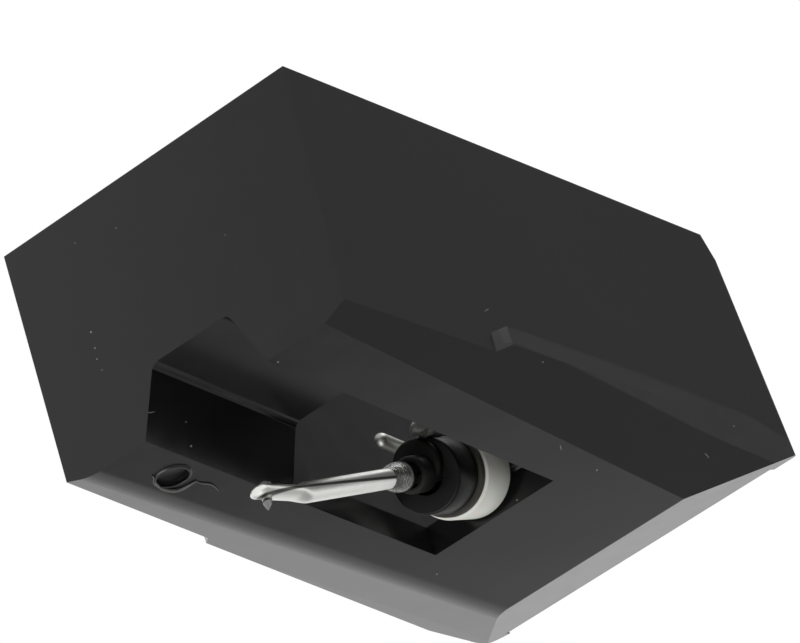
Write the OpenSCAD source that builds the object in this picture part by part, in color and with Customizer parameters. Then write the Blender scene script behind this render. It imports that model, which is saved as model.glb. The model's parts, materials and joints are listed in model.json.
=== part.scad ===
// Replacement stylus for a moving magnet cartridge, in millimetres.
// Width runs along X, front to rear along +Y, and up along +Z.
// The diamond points down. The origin is on the axis of the plug tube,
// where the tube leaves the rear face of its boss.

/* [Holder] */
// Width of the front face at its lower edge
front_w = 10; // [9:0.1:12]
// Length of the holder along its underside
holder_l = 21.8; // [20.5:0.1:24]
// Height of the front face
front_h = 8.1; // [6.5:0.1:9.5]
// Height of the side walls at the rear
rear_h = 8.45; // [6.5:0.1:10]
// Angle by which each side opens towards the rear
side_flare = 2.45; // [0:0.05:4]
// Draft angle of the sides, wider at the top
side_draft = 1.1; // [0:0.1:3]
// Angle by which the front face leans back
front_lean = 4; // [0:0.5:10]
// Wall thickness of the front and the sides
wall_t = 0.9; // [0.6:0.05:1.2]
// Thickness of the floor
floor_t = 0.95; // [0.7:0.05:1.3]
// Length of the slope at the rear end of the side walls
rear_lean = 0.75; // [0.2:0.05:1.5]
// Height of the chamfer at the top rear corners
top_chamfer = 1.15; // [0.4:0.05:2]
// Radius of the rear corner on the side of the guide pin, seen from above
left_corner_r = 1.1; // [0.2:0.05:1.3]
// Radius of the other rear corner
right_corner_r = 0.2; // [0.1:0.05:1.3]

/* [Underside] */
// Width of the flat of the underside at the front
flat_front_w = 8.4; // [7:0.1:9]
// Width of the flat of the underside at its rear end
flat_rear_w = 7; // [6:0.1:8.4]
// Slope of the long bevels beside the flat
bevel_slope = 21.4; // [10:0.1:30]
// Length of the bevel at the rear end
rear_bevel_l = 3.25; // [1.5:0.05:4.5]
// Slope of the bevel at the rear end
rear_bevel_slope = 17.8; // [8:0.1:24]

/* [Window] */
// Width of the window for the cantilever
window_w = 4.4; // [3.8:0.05:5]
// Gap between the collar and the rear edge of the window
window_gap = 0.09; // [0.05:0.01:0.3]
// Length of the solid block at the front of the holder
block_l = 8; // [7.5:0.05:8.6]
// Height of that block
block_h = 3.1; // [2.6:0.05:3.6]
// Length of the sloping channel in the block
channel_l = 6.75; // [5.5:0.05:7.2]
// Height of the channel's ceiling
channel_h = 2.06; // [1.6:0.02:2.2]
// Width of the channel's ceiling
channel_top_w = 2.7; // [2:0.05:3.4]
// Radius of the channel's upper corners
channel_r = 0.32; // [0.1:0.02:0.6]
// Thickness of the block's walls beside the channel and its core pockets
core_wall = 0.8; // [0.5:0.05:1.1]

/* [Finger ribs] */
// Distance from the front face to the start of the ribs
rib_start = 6.85; // [4:0.05:10]
// How far the ribs stand out from the sides
rib_out = 0.33; // [0.15:0.01:0.5]
// Height of the ribs
rib_h = 0.62; // [0.4:0.02:1]
// Length over which a rib rises at its front end
rib_ramp = 0.4; // [0.1:0.05:1]
// Length over which a rib fades out at its rear end
rib_fade = 2.8; // [1:0.1:4]

/* [Gate mark] */
// Sideways distance of the gate mark from the middle
gate_x = 3.04; // [2.9:0.02:3.4]
// Distance of the gate mark from the front face
gate_y = 2.21; // [1.6:0.05:4]
// Radius of the gate mark's hollow
gate_r = 0.48; // [0.2:0.02:0.5]
// Depth of the gate mark's hollow
gate_depth = 0.07; // [0.05:0.01:0.3]
// Radius of the raised rim around the gate mark
gate_rim_r = 0.06; // [0.03:0.01:0.1]

/* [Suspension] */
// Distance from the front face to the cantilever's root, in the middle of its bead
root_y = 9.02; // [8.8:0.02:9.2]
// Height of that point over the underside
root_z = 0.12; // [-0.1:0.02:0.3]
// Upward slope of the plug tube and all that is centred on it
plug_tilt = 17; // [14:0.5:19]
// Distance from that point to the front damper's disc
damper_start = 1.2; // [1.1:0.05:1.25]
// Radius of that disc
damper_r = 0.76; // [0.7:0.02:0.84]
// Distance from the root to the front damper's nose, which wraps the cantilever
nose_start = 0.56; // [0.54:0.02:0.7]
// Radius of the nose
nose_r = 0.55; // [0.52:0.01:0.58]
// How far the front damper sits above the axis
damper_lift = 0.36; // [0.2:0.02:0.38]
// Radius of the front damper's front edge
damper_edge = 0.14; // [0.05:0.01:0.16]
// Gap behind the front damper, which lets it lean
damper_gap = 0.06; // [0.05:0.01:0.1]
// Distance from the cantilever's root to the front of the black sleeve
sleeve_start = 1.5; // [1.45:0.05:1.6]
// Length of the black sleeve
sleeve_l = 1.15; // [1:0.05:1.2]
// Radius of the black sleeve
sleeve_r = 1.12; // [1:0.02:1.2]
// Radius of the rubber seen between sleeve and collar
rear_damper_r = 1.22; // [1.1:0.01:1.26]
// Length of that rubber
rear_damper_l = 0.22; // [0.16:0.02:0.3]
// Length of the white collar
collar_l = 1.43; // [1.3:0.01:1.6]
// Radius of the white collar
collar_r = 1.3; // [1.2:0.02:1.34]
// Depth of the chamfer around the collar's front edge
collar_chamfer = 0.08; // [0.03:0.01:0.15]

/* [Plug] */
// Outer radius of the plug tube
tube_r = 0.9; // [0.85:0.01:1]
// Wall thickness of the plug tube
tube_wall = 0.15; // [0.1:0.01:0.18]
// Radius of the tube's thicker root, which is pressed into the boss
tube_root_r = 1.06; // [1.06:0.01:1.08]
// Length of the plug tube that goes into the cartridge
plug_l = 5; // [4:0.1:5.6]
// Length of the moulded boss that carries the plug tube
boss_l = 3.3; // [3.2:0.05:3.5]
// Radius of that boss
boss_r = 1.68; // [1.66:0.01:1.8]
// How far the web under the boss is set in from the boss's sides
web_inset = 0.2; // [0.1:0.05:0.6]
// Length of the crimped stopper at the rear of the tube
stopper_l = 1; // [0.6:0.1:1.4]
// Radius of the tie wire
wire_r = 0.05; // [0.03:0.01:0.08]
// Gap between the magnet and the end of the tie wire
wire_gap = 0.05; // [0.03:0.01:0.1]
// Radial clearance of what is pressed or cemented in place
seat_gap = 0.01; // [0.005:0.005:0.02]

/* [Guide pin] */
// Radius of the steel pin beside the damper
pin_r = 0.22; // [0.16:0.01:0.23]
// Sideways distance of the pin from the middle
pin_x = 1.12; // [1.1:0.01:1.16]
// Height of the pin over the underside
pin_z = 2.49; // [2.48:0.01:2.56]
// Distance from the front face to the round end of the pin
pin_start = 10.5; // [10:0.05:11]
// Distance from the front face to the seated end of the pin
pin_end = 14; // [13.8:0.05:14]

/* [Cantilever] */
// Outer radius of the cantilever's tube
arm_r = 0.295; // [0.25:0.005:0.32]
// Wall thickness of the cantilever's tube
arm_wall = 0.08; // [0.05:0.005:0.12]
// Downward slope of the cantilever towards the tip
arm_tilt = 20.6; // [19:0.2:23]
// Length of the round tube in front of the root
arm_l = 5.75; // [5:0.05:6.5]
// Length of the stretch that is pressed from round to flat
press_l = 0.7; // [0.4:0.05:1]
// Length of the flattened tip
flat_l = 1.9; // [1.5:0.05:2.4]
// Thickness of the flattened tip
flat_t = 0.34; // [0.26:0.01:0.4]
// Width of the flattened tip
flat_w = 0.66; // [0.5:0.01:0.8]
// Downward slope of the flattened tip
flat_tilt = 14; // [10:0.5:18]
// Largest radius of the clear bead at the cantilever's root
bead_r = 0.43; // [0.36:0.01:0.46]
// How far the bead reaches in front of the root
bead_front = 0.8; // [0.6:0.05:0.9]
// How far the bead reaches behind the root
bead_back = 0.5; // [0.4:0.02:0.5]
// Distance from the end of the flattened tip to the diamond
tip_inset = 0.46; // [0.4:0.02:0.9]
// Radius of the metal shank that holds the diamond
shank_r = 0.14; // [0.1:0.01:0.16]
// How far the shank leans forward from upright
shank_lean = 18; // [0:1:20]
// How far the shank stands out below the flattened tip
shank_out = 0.1; // [0.1:0.01:0.15]
// How far the shank stands out above the flattened tip
shank_rise = 0.22; // [0.2:0.01:0.3]
// Length of the diamond
diamond_l = 0.36; // [0.25:0.01:0.45]
// Radius of the diamond at the shank
diamond_r = 0.125; // [0.08:0.005:0.14]
// Length of the diamond's cone
cone_l = 0.25; // [0.15:0.01:0.3]
// Radius of the polished point
point_r = 0.018; // [0.015:0.001:0.025]
// Radius of the magnet
magnet_r = 0.42; // [0.35:0.01:0.45]
// Length of the magnet
magnet_l = 3.4; // [2.5:0.1:3.6]
// Radial clearance around the cantilever in the rubber
arm_gap = 0.09; // [0.08:0.01:0.1]
// Distance from the middle of the sleeve to the magnet
magnet_offset = 0.6; // [0.6:0.02:0.8]

/* [Hidden] */
$fn = 64;

// Longer than any cut has to reach
far = 40;
// Cuts run past a face by this much
over = 0.05;
// Cuts from below start this far under the underside
below = 1;
// The dab of cement: its radius, its place along the sleeve and its angle from the top
cement_r = 0.3;
cement_y = 0.3;
cement_turn = 32;
// The bead swells from its front end to here, in degrees of a sine wave
bead_swell = 165;
// Depth to run for the chamfer at the top rear corners
chamfer_slope = 0.48;

half_w = front_w / 2;
flat_taper = (flat_front_w - flat_rear_w) / 2 / (holder_l - rear_bevel_l);
edge_z = tan(bevel_slope) * (half_w - flat_front_w / 2);
front_run = front_h * tan(front_lean);
rear_edge_z = rear_bevel_l * tan(rear_bevel_slope);
rear_angle = atan(rear_lean / (rear_h - top_chamfer - rear_edge_z));
chamfer_run = top_chamfer * chamfer_slope;
// The core pockets stop higher than the floor, so that the ribs' roots keep their thickness
core_floor = floor_t + rib_h / 2;
// The web under the boss goes this deep into the floor
web_foot = floor_t / 2;

// Stations along the plug's axis, counted from the cantilever's root
rear_damper_start = sleeve_start + sleeve_l;
collar_start = rear_damper_start + rear_damper_l;
boss_start = collar_start + collar_l;
boss_end = boss_start + boss_l;
tube_end = boss_end + plug_l;
pivot_s = sleeve_start + sleeve_l / 2;
magnet_start = pivot_s + magnet_offset;
magnet_end = magnet_start + magnet_l;
bore_r = tube_r - tube_wall;
// The sleeve's bore is wider, because the cantilever crosses it at an angle
sleeve_bore_r = arm_r + 3 * arm_gap;
window_l = root_y + boss_start * cos(plug_tilt) + collar_r * sin(plug_tilt) + window_gap;

// The origin in the holder's own measures
seat_y = root_y + boss_end * cos(plug_tilt);
seat_z = root_z + boss_end * sin(plug_tilt);

// Puts the holder's measures into the part's frame
module placed() {
  translate([0, -seat_y, -seat_z]) children();
}

// Puts a shape that runs along Y on the plug's axis, at a station of it
module on_axis(station) {
  translate([0, root_y, root_z]) rotate([plug_tilt, 0, 0]) translate([0, station, 0]) children();
}

// Puts a shape that runs along Y on the cantilever's axis
module on_arm(station) {
  translate([0, root_y, root_z]) rotate([arm_tilt, 0, 0]) translate([0, station, 0]) children();
}

// A cylinder that runs along +Y
module rod(r, l) {
  rotate([-90, 0, 0]) cylinder(r = r, h = l);
}

// A turned shape that runs along +Y, from a profile of radius and length
module turned(profile) {
  rotate([-90, 0, 0]) rotate_extrude() polygon(profile);
}

module both_sides() {
  children();
  mirror([1, 0, 0]) children();
}

// All that lies beyond the holder's right side, moved outwards by out
module beyond_side(out) {
  turn = -side_flare;
  lean = atan(tan(side_draft) * cos(turn));
  translate([half_w + out, 0, edge_z]) rotate([0, lean, turn])
    translate([0, -far, -far]) cube([far, 2 * far, 2 * far]);
}

// All that lies below the right underside bevel, lifted by up
module below_bevel(up) {
  slope = atan(tan(bevel_slope) * sqrt(1 + pow(flat_taper, 2)));
  translate([flat_front_w / 2, 0, up]) rotate([0, -slope, atan(flat_taper)])
    translate([-far, -far, -far]) cube([2 * far, 2 * far, far]);
}

// Extrudes a profile of Y and Z across the whole width
module across(profile) {
  rotate([90, 0, 90]) translate([0, 0, -far / 2]) linear_extrude(far) polygon(profile);
}

// The holder seen from the side
function side_profile() = [
  [0, 0],
  [front_run, front_h],
  [holder_l - rear_lean - chamfer_run, rear_h],
  [holder_l - rear_lean, rear_h - top_chamfer],
  [holder_l, rear_edge_z],
  [holder_l - rear_bevel_l, 0]
];

module holder_outline() {
  difference() {
    across(side_profile());
    both_sides() beyond_side(0);
    both_sides() below_bevel(0);
  }
}

// How far the right side stands from the middle, at a distance from the front
function side_x(y) = half_w + y * tan(side_flare);

// One finger rib, which rises at its front and fades out where the rear corner's rounding starts
module rib(corner_r) {
  full_from = rib_start + rib_ramp;
  full_to = holder_l - rib_fade;
  end_y = holder_l - corner_r;
  inner_x = half_w - wall_t;
  intersection() {
    translate([0, 0, -below]) linear_extrude(far) polygon([
      [inner_x, rib_start],
      [side_x(rib_start), rib_start],
      [side_x(full_from) + rib_out, full_from],
      [side_x(full_to) + rib_out, full_to],
      [side_x(end_y), end_y],
      [inner_x, end_y]
    ]);
    across(side_profile());
    difference() {
      below_bevel(rib_h);
      below_bevel(0);
    }
  }
}

// Points of an arc, from one angle to another
function arc(cx, cy, r, from, to, steps) =
  [for (i = [0:steps]) let (a = from + (to - from) * i / steps) [cx + r * cos(a), cy + r * sin(a)]];

// What the rounding takes off the right rear corner. It leans with the corner's edge.
module corner_cut(r) {
  in_x = r * (1 + sin(side_flare)) / cos(side_flare);
  translate([side_x(holder_l), holder_l, rear_edge_z]) rotate([rear_angle, side_draft, 0])
    translate([0, 0, -far / 2]) linear_extrude(far) polygon(concat(
      arc(-in_x, -r, r, 90, -side_flare, 10),
      [[over, -r], [over, over], [-in_x, over]]
    ));
}

// The channel seen from the front, with round upper corners
function channel_profile() =
  let (lean = atan((window_w - channel_top_w) / 2 / channel_h))
  let (cx = channel_top_w / 2 - channel_r * tan(45 - lean / 2), cz = channel_h - channel_r)
  concat(
    [[window_w / 2, -below], [window_w / 2, 0]],
    arc(cx, cz, channel_r, lean, 90, 5),
    arc(-cx, cz, channel_r, 90, 180 - lean, 5),
    [[-window_w / 2, 0], [-window_w / 2, -below]]
  );

// The room inside the holder, open at its top and rear
module holder_inside() {
  difference() {
    across([
      [block_l, floor_t],
      [block_l, block_h],
      [wall_t + block_h * tan(front_lean), block_h],
      [wall_t + far / 2 * tan(front_lean), far / 2],
      [far, far / 2],
      [far, floor_t]
    ]);
    both_sides() beyond_side(-wall_t);
  }
}

// Pockets that keep the walls of the front block even
module core_pocket() {
  inner = window_w / 2 + core_wall;
  difference() {
    translate([inner, wall_t + block_h * tan(front_lean), core_floor])
      cube([half_w, block_l - wall_t - core_wall - block_h * tan(front_lean), block_h]);
    beyond_side(-wall_t);
  }
}

module gate_mark() {
  translate([-gate_x, gate_y, -over]) cylinder(r = gate_r, h = gate_depth + over);
}

module gate_rim() {
  ring_r = gate_r + gate_rim_r / 2;
  translate([-gate_x, gate_y, 0]) rotate_extrude() translate([ring_r, 0]) circle(gate_rim_r, $fn = 16);
}

// The boss with the web that joins it to the floor
module boss() {
  web_x = boss_r - web_inset;
  difference() {
    union() {
      on_axis(boss_start) rod(boss_r, boss_l);
      intersection() {
        on_axis(boss_start) translate([-web_x, 0, -far]) cube([2 * web_x, boss_l, far]);
        translate([-far / 2, window_l, web_foot]) cube([far, far, far]);
      }
    }
    translate([-far / 2, -far / 2, -far]) cube([far, far, far + web_foot]);
    translate([-far / 2, 0, -far]) cube([far, window_l, far + floor_t]);
  }
}

module holder() {
  color("#2b2b2d") placed() difference() {
    union() {
      difference() {
        union() {
          holder_outline();
          rib(right_corner_r);
          mirror([1, 0, 0]) rib(left_corner_r);
          gate_rim();
        }
        holder_inside();
        both_sides() core_pocket();
        translate([0, channel_l, 0]) rotate([90, 0, 0])
          linear_extrude(channel_l + over) polygon(channel_profile());
        translate([-window_w / 2, channel_l - over, -below])
          cube([window_w, block_l - channel_l + 2 * over, below + block_h + over]);
        translate([-window_w / 2, channel_l, -below])
          cube([window_w, window_l - channel_l, below + floor_t + over]);
        gate_mark();
        corner_cut(right_corner_r);
        mirror([1, 0, 0]) corner_cut(left_corner_r);
      }
      boss();
    }
    on_axis(boss_start - over) rod(tube_root_r + seat_gap, boss_l + 2 * over);
    translate([-pin_x, pin_start, pin_z]) rod(pin_r + seat_gap, pin_end - pin_start + seat_gap);
  }
}

// White collar that the damper parts are seated on
module collar() {
  color("#c9cac4") placed() on_axis(collar_start) turned([
    [bore_r, 0],
    [collar_r - collar_chamfer, 0],
    [collar_r, collar_chamfer],
    [collar_r, collar_l],
    [bore_r, collar_l]
  ]);
}

module rear_damper() {
  color("#3a332c") placed() on_axis(rear_damper_start) difference() {
    rod(rear_damper_r, rear_damper_l);
    translate([0, -over, 0]) rod(bore_r, rear_damper_l + 2 * over);
  }
}

module damper_sleeve() {
  color("#141413") placed() on_axis(sleeve_start) turned([
    [sleeve_bore_r, 0],
    [sleeve_r - collar_chamfer, 0],
    [sleeve_r, collar_chamfer],
    [sleeve_r, sleeve_l],
    [sleeve_bore_r, sleeve_l]
  ]);
}

// A rubber plug with a round front edge
module rubber_plug(r, l) {
  turned(concat(
    [[0, l], [0, 0]],
    arc(r - damper_edge, damper_edge, damper_edge, -90, 0, 6),
    [[r, l]]
  ));
}

// Rubber disc above the cantilever, with a nose that wraps it
module front_damper() {
  damper_end = sleeve_start - damper_gap;
  color("#0c0c0b") placed() difference() {
    union() {
      on_axis(damper_start) translate([0, 0, damper_lift]) rubber_plug(damper_r, damper_end - damper_start);
      on_arm(nose_start) rubber_plug(nose_r, damper_end - damper_edge - nose_start);
    }
    on_arm(0) rod(arm_r + arm_gap, sleeve_start + sleeve_l);
  }
}

// Dab of clear cement on the upper right of the sleeve
module sleeve_cement() {
  color("#d8d8d2") placed() on_axis(sleeve_start) difference() {
    rotate([0, cement_turn, 0]) translate([0, cement_y, sleeve_r]) sphere(cement_r);
    translate([0, -cement_r, 0]) rod(sleeve_r + seat_gap, sleeve_l + 2 * cement_r);
    translate([-far / 2, -far, -far / 2]) cube(far);
  }
}

module guide_pin() {
  color("#b4b4b0") placed() translate([-pin_x, pin_start, pin_z]) turned(concat(
    [[0, pin_end - pin_start]],
    arc(0, pin_r, pin_r, -90, 0, 6),
    [[pin_r, pin_end - pin_start]]
  ));
}

// Turned tube with a thicker root
module plug_tube() {
  color("#a9a9a4") placed() on_axis(boss_start) turned([
    [bore_r, 0],
    [tube_root_r, 0],
    [tube_root_r, boss_l],
    [tube_r, boss_l],
    [tube_r, boss_l + plug_l],
    [bore_r, boss_l + plug_l]
  ]);
}

module tube_stopper() {
  color("#b08d4a") placed() on_axis(tube_end - stopper_l) difference() {
    rod(bore_r - seat_gap, stopper_l);
    translate([0, -over, 0]) rod(wire_r + seat_gap, stopper_l + 2 * over);
  }
}

module tie_wire() {
  wire_start = magnet_end + wire_gap;
  color("#c8c8c4") placed() on_axis(wire_start) rod(wire_r, tube_end - wire_start);
}

// The flattened tip's own place: it starts where the round tube ends
module on_flat() {
  on_arm(-arm_l - press_l) rotate([flat_tilt - arm_tilt, 0, 0]) children();
}

// Outline of the flattened tube, as seen along it
function flat_outline(w, t) =
  concat(arc((w - t) / 2, 0, t / 2, -90, 90, 8), arc((t - w) / 2, 0, t / 2, 90, 270, 8));

module flat_tube(w, t, l) {
  rotate([90, 0, 0]) linear_extrude(l) polygon(flat_outline(w, t));
}

module cantilever() {
  // The pressed stretch starts and ends just inside its neighbours
  tuck = 0.01;
  color("#c6c7c2") placed() difference() {
    union() {
      on_arm(-arm_l) rod(arm_r, arm_l + magnet_start - wire_gap);
      hull() {
        on_arm(-arm_l + over) rod(arm_r - tuck, over);
        on_flat() flat_tube(flat_w - 2 * tuck, flat_t - 2 * tuck, over);
      }
      on_flat() flat_tube(flat_w, flat_t, flat_l);
    }
    on_arm(-arm_l + 4 * over) rod(arm_r - arm_wall, arm_l + magnet_end);
    at_tip() translate([0, 0, -flat_w]) cylinder(r = shank_r + seat_gap / 2, h = 2 * flat_w);
  }
}

// Clear bead around the cantilever in front of the damper
module root_bead() {
  bead_l = bead_front + bead_back;
  inner_r = arm_r + seat_gap / 2;
  color("#dcdcd6") placed() on_arm(-bead_front) turned(concat(
    [[inner_r, bead_l], [inner_r, 0]],
    [for (t = [0:1 / 8:1]) [arm_r + seat_gap + (bead_r - arm_r) * sin(t * bead_swell), bead_l * t]]
  ));
}

// The diamond's place: the middle of the flattened tip, with -Z along the shank
module at_tip() {
  on_flat() translate([0, -flat_l + tip_inset, 0]) rotate([-flat_tilt - shank_lean, 0, 0]) children();
}

module tip_shank() {
  reach = flat_t / 2 + shank_out;
  top = flat_t / 2 + shank_rise;
  color("#9a9a98") placed() at_tip() rotate([180, 0, 0]) rotate_extrude() polygon([
    [0, reach],
    [shank_r, reach],
    [shank_r, shank_r / 2 - top],
    [shank_r / 2, -top],
    [0, -top]
  ]);
}

module diamond() {
  reach = flat_t / 2 + shank_out;
  // Where the cone meets the round point
  cone_turn = atan(diamond_r / cone_l);
  color("#4a4a4c") placed() at_tip() rotate([180, 0, 0]) translate([0, 0, reach])
    rotate_extrude() polygon(concat(
      [[0, 0], [diamond_r, 0], [diamond_r, diamond_l - cone_l]],
      arc(0, diamond_l - point_r, point_r, cone_turn, 90, 4)
    ));
}

module magnet() {
  color("#3c3c3e") placed() on_axis(magnet_start) rod(magnet_r, magnet_l);
}

holder();
collar();
rear_damper();
damper_sleeve();
front_damper();
sleeve_cement();
guide_pin();
plug_tube();
tube_stopper();
tie_wire();
cantilever();
root_bead();
tip_shank();
diamond();
magnet();
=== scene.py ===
# %% [markdown]
# # Dressing a turntable stylus
# The solids of this stylus are already packed as a frame: a black moulded holder, a damper made of
# several small rings, a thin aluminium cantilever with its diamond, and a plug tube. This lesson gives
# them their looks. Everything is tiny, so sizes are written in millimetres and multiplied by MM,
# because Blender and the frame count in metres.

# %% Load the frame
import json
import math
import random

import bmesh
import bpy
from mathutils import Matrix, Quaternion, Vector


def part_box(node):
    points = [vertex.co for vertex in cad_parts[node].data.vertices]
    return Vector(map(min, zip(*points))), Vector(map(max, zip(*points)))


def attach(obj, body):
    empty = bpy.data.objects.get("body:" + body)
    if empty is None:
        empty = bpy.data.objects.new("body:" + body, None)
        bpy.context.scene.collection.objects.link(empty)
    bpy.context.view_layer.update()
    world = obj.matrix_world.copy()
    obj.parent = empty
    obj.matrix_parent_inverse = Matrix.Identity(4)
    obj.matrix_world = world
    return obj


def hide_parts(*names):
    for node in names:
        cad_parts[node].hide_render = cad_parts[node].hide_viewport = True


MM = 0.001
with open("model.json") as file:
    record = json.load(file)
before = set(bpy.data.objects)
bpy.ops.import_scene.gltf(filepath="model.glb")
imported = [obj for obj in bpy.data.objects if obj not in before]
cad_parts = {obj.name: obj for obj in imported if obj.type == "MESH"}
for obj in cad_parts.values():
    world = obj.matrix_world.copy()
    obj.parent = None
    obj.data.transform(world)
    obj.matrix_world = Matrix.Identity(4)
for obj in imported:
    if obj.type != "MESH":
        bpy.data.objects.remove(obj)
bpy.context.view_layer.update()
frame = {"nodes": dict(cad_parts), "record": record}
nodes = frame["nodes"]
bpy.ops.object.select_all(action="DESELECT")
print("CAD nodes:", ", ".join(sorted(nodes)))

# %% [markdown]
# ## Where things are
# The frame's origin sits on the axis of the plug tube, at the rear of its boss. The tube, the damper
# and the collar share that axis, and the record's first mount gives its direction. The cantilever has
# its own, steeper axis. Both start at the root, where the cantilever leaves the rubber. Two small
# functions turn "so far along this axis" into a placement matrix, so that each piece can be modelled
# upright at the origin and then be put in its place. Parenting to an empty could do that as well, but
# a finished piece keeps its place in its mesh.

# %% Axes of the suspension
ROOT_TO_SEAT, UNDERSIDE_DROP = 7.6, 0.12
ARM_SLOPE, TIP_SLOPE = 20.6, 14.0
plug_axis = Vector(frame["record"]["mounts"][0]["axis"]).normalized()
root = -ROOT_TO_SEAT * MM * plug_axis
plug_slope = math.degrees(math.asin(plug_axis.z))
holder_low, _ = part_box("holder")
FOOT = Vector((0, holder_low.y, root.z - UNDERSIDE_DROP * MM))


def on_slope(start, slope, along):
    """A placement along a sloping axis: local Z runs along it, local Y points down from it."""
    turn = Matrix.Rotation(math.radians(slope), 4, "X") @ Matrix.Rotation(math.radians(-90), 4, "X")
    offset = Matrix.Translation((0, 0, along * MM))
    return Matrix.Translation(start) @ turn @ offset


def on_plug(along):
    """A place on the plug tube's axis, counted in millimetres from the root."""
    return on_slope(root, plug_slope, along)


def on_arm(along):
    """A place on the cantilever's axis, counted in millimetres from the root."""
    return on_slope(root, ARM_SLOPE, along)


print("root of the cantilever in mm:", [round(c / MM, 3) for c in root])
print("slope of the plug axis:", round(plug_slope, 2))

# %% [markdown]
# ## The camera
# The stylus is seen from below and from its front left, as when a cartridge is held up to the eye.
# The object is only 22 mm long and 164 mm away, so the lens is very long, and the view has almost no
# perspective. The camera is described as a photographer would: its direction, its roll, and where the
# foot of the front face stands from it, to the right, down and ahead. An empty to track would aim a
# camera too, but turning it by a direction and a roll keeps every number readable.

# %% Camera
AZIMUTH, ELEVATION, ROLL = 27.9948, -29.1226, 18.7015
FOOT_RIGHT, FOOT_DOWN, FOOT_AHEAD = -5.220, 2.154, 163.654
SENSOR_MM, LENS_MM, NEAR_M, FAR_M = 36.0, 273.15, 0.02, 5.0

az, el = math.radians(AZIMUTH), math.radians(ELEVATION)
back = Vector((math.sin(az) * math.cos(el), -math.cos(az) * math.cos(el), math.sin(el)))
turn = (-back).to_track_quat("-Z", "Y") @ Quaternion((0, 0, 1), math.radians(-ROLL))
right, up = turn @ Vector((1, 0, 0)), turn @ Vector((0, 1, 0))

camera_data = bpy.data.cameras.new("camera")
camera_data.sensor_width = SENSOR_MM
camera_data.lens = LENS_MM
camera_data.clip_start = NEAR_M
camera_data.clip_end = FAR_M
camera = bpy.data.objects.new("camera", camera_data)
camera.rotation_mode = "QUATERNION"
camera.rotation_quaternion = turn
camera.location = FOOT - (FOOT_RIGHT * right - FOOT_DOWN * up - FOOT_AHEAD * back) * MM
bpy.context.scene.collection.objects.link(camera)
bpy.context.scene.camera = camera
print("camera at mm:", [round(c / MM, 2) for c in camera.location])

# %% [markdown]
# ### From a picture point to the object
# Some traces are known only by where they show in the picture: the gate's mark, dabs of cement, dust.
# A point of the picture becomes a ray from the camera, and where the ray meets the flat underside is
# the real place. Tracing by hand over the picture would work too, but this needs no picture.

# %% From a picture point to the object
PICTURE_W, PICTURE_H = 800, 643
GATE_PIXEL = (172, 476)


def ray_through(pixel):
    """The direction in which the camera sees a point of the picture."""
    focal = camera_data.lens / camera_data.sensor_width * PICTURE_W
    across = (pixel[0] - PICTURE_W / 2) / focal
    down = (pixel[1] - PICTURE_H / 2) / focal
    return (across * right - down * up - back).normalized()


def on_underside(pixel, below=0.0):
    """The place on the holder's flat underside that this point of the picture shows."""
    ray = ray_through(pixel)
    reach = (FOOT.z - below * MM - camera.location.z) / ray.z
    return camera.location + ray * reach


print("the gate mark's middle in mm:", [round(c / MM, 2) for c in on_underside(GATE_PIXEL)])

# %% [markdown]
# ## Colours and nodes
# Colours are picked as sRGB hex values, as in a paint program, but shaders work with linear light, so
# one function converts them. Another one adds any shader node, with its settings, its values and its
# links. Nothing on a real surface is quite even, so a third one lets a value or a colour wander between
# two ends, and a fourth one lets the skin rise and fall. Both count their spots in real millimetres on
# the piece's own coordinates. Image textures could do the same, but a pattern made of noise needs no
# file and has no seam.

# %% Helpers for colours and nodes


def linear(hex_colour):
    """An sRGB hex colour as linear RGBA."""
    parts = [int(hex_colour[i:i + 2], 16) / 255 for i in (1, 3, 5)]
    return [c / 12.92 if c <= 0.04045 else ((c + 0.055) / 1.055) ** 2.4 for c in parts] + [1.0]


def add(tree, kind, inputs=None, **settings):
    """Adds a node. An input is a value, or an output socket of another node to link it to."""
    node = tree.nodes.new(kind)
    for name, value in settings.items():
        setattr(node, name, value)
    for name, value in (inputs or {}).items():
        if isinstance(value, bpy.types.NodeSocket):
            tree.links.new(value, node.inputs[name])
        else:
            node.inputs[name].default_value = value
    return node


print("black plastic as linear light:", [round(c, 4) for c in linear("#151516")[:3]])

# %% Helpers for finishes


def wander(tree, spot_mm, low, high, detail=3.0, roughness=0.5, at=None):
    """A number or hex colour that wanders between two ends, in spots of a real size."""
    places = at or add(tree, "ShaderNodeTexCoord").outputs["Object"]
    spots = add(tree, "ShaderNodeTexNoise", {"Vector": places, "Scale": 1 / (spot_mm * MM),
                                             "Detail": detail, "Roughness": roughness}).outputs[0]
    if isinstance(low, str):
        ends = {"Factor": spots, 6: linear(low), 7: linear(high)}
        return add(tree, "ShaderNodeMix", ends, data_type="RGBA").outputs[2]
    return add(tree, "ShaderNodeMapRange", {"Value": spots, "To Min": low, "To Max": high}).outputs[0]


def relief(tree, spot_mm, depth_mm, detail=3.0, at=None, under=None):
    """A skin that rises and falls by a depth. It can lie on top of another relief."""
    height = wander(tree, spot_mm, 0.0, 1.0, detail, at=at)
    found = {"Height": height, "Distance": depth_mm * MM}
    if under is not None:
        found["Normal"] = under
    return add(tree, "ShaderNodeBump", found).outputs[0]


def start_material(name, **shader_values):
    """A new material with a Principled shader. Returns the material, its node tree and the shader."""
    material = bpy.data.materials.new(name)
    material.use_nodes = True
    tree = material.node_tree
    tree.nodes.clear()
    values = {key.replace("_", " "): value for key, value in shader_values.items()}
    shader = add(tree, "ShaderNodeBsdfPrincipled", values)
    add(tree, "ShaderNodeOutputMaterial", {"Surface": shader.outputs[0]})
    return material, tree, shader


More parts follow.
